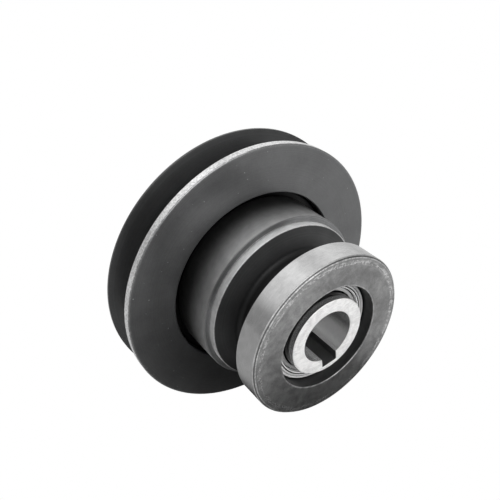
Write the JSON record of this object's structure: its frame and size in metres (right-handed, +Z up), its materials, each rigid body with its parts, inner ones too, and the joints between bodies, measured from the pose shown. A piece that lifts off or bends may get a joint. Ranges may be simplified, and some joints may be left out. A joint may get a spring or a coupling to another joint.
{
  "type": "two-step v-belt pulley",
  "caption": "Two-step V-belt pulley: a large and a small grooved wheel spin on bearings around one keyed steel sleeve that clamps on a shaft.",
  "frame": {"origin": "on the axis of the shaft bore, at the middle of the whole length", "axes": "Y is the axis of the sleeve; -Y points out of the front, past the small pulley, and +Y to the large pulley's side; +Z is up"},
  "size_m": [0.1078, 0.0674, 0.1078],
  "materials": {
    "blackened_iron": "black-oxide, satin, rims turned bright",
    "machined_steel": "turned and faced",
    "bearing_steel": "ground",
    "ball_steel": "polished",
    "cage_steel": "pressed, matte",
    "seal_rubber": "matte black",
    "spring_steel": "phosphated, dark"
  },
  "bodies": {
    "sleeve": {"keyed_sleeve": "machined_steel", "rear_bearing_inner_ring": "bearing_steel", "inner_spacer_ring": "machined_steel", "hub_bearing_inner_ring": "bearing_steel", "sleeve_rear_circlip": "spring_steel", "sleeve_front_circlip": "spring_steel"},
    "large_pulley": {"large_pulley": "blackened_iron", "rear_bearing_outer_ring": "bearing_steel", "rear_bearing_front_seal": "seal_rubber", "rear_bearing_rear_seal": "seal_rubber", "large_bore_circlip": "spring_steel"},
    "small_pulley": {"small_pulley": "blackened_iron", "hub_bearing_outer_ring": "bearing_steel", "hub_bearing_front_seal": "seal_rubber", "hub_bearing_rear_seal": "seal_rubber", "hub_bore_circlip": "spring_steel", "needle_bearing_ring": "bearing_steel"},
    "rear_cage": {"rear_bearing_cage": "cage_steel", "rear_ball_1": "ball_steel", "rear_ball_2": "ball_steel", "rear_ball_3": "ball_steel", "rear_ball_4": "ball_steel", "rear_ball_5": "ball_steel", "rear_ball_6": "ball_steel", "rear_ball_7": "ball_steel", "rear_ball_8": "ball_steel", "rear_ball_9": "ball_steel"},
    "hub_cage": {"hub_bearing_cage": "cage_steel", "hub_ball_1": "ball_steel", "hub_ball_2": "ball_steel", "hub_ball_3": "ball_steel", "hub_ball_4": "ball_steel", "hub_ball_5": "ball_steel", "hub_ball_6": "ball_steel", "hub_ball_7": "ball_steel", "hub_ball_8": "ball_steel", "hub_ball_9": "ball_steel", "hub_ball_10": "ball_steel", "hub_ball_11": "ball_steel"},
    "needle_cage": {"needle_cage": "cage_steel", "needle_1": "ball_steel", "needle_2": "ball_steel", "needle_3": "ball_steel", "needle_4": "ball_steel", "needle_5": "ball_steel", "needle_6": "ball_steel", "needle_7": "ball_steel", "needle_8": "ball_steel", "needle_9": "ball_steel", "needle_10": "ball_steel", "needle_11": "ball_steel", "needle_12": "ball_steel", "needle_13": "ball_steel", "needle_14": "ball_steel", "needle_15": "ball_steel", "needle_16": "ball_steel", "needle_17": "ball_steel", "needle_18": "ball_steel"}
  },
  "joints": [
    {"name": "large_pulley_spin", "type": "hinge", "parent": "sleeve", "child": "large_pulley", "pos_m": [0, 0.0192, 0], "axis": [0, 1, 0], "continuous": true},
    {"name": "small_pulley_spin", "type": "hinge", "parent": "sleeve", "child": "small_pulley", "pos_m": [0, -0.0115, 0], "axis": [0, 1, 0], "continuous": true},
    {"name": "rear_cage_orbit", "type": "hinge", "parent": "sleeve", "child": "rear_cage", "pos_m": [0, 0.01982, 0], "axis": [0, 1, 0], "continuous": true},
    {"name": "hub_cage_orbit", "type": "hinge", "parent": "sleeve", "child": "hub_cage", "pos_m": [0, 0.00143, 0], "axis": [0, 1, 0], "continuous": true},
    {"name": "needle_cage_orbit", "type": "hinge", "parent": "sleeve", "child": "needle_cage", "pos_m": [0, -0.01925, 0], "axis": [0, 1, 0], "continuous": true}
  ],
  "couplings": [
    {"joint": "rear_cage_orbit", "follows": "large_pulley_spin", "ratio": 0.6},
    {"joint": "hub_cage_orbit", "follows": "small_pulley_spin", "ratio": 0.58},
    {"joint": "needle_cage_orbit", "follows": "small_pulley_spin", "ratio": 0.54}
  ]
}
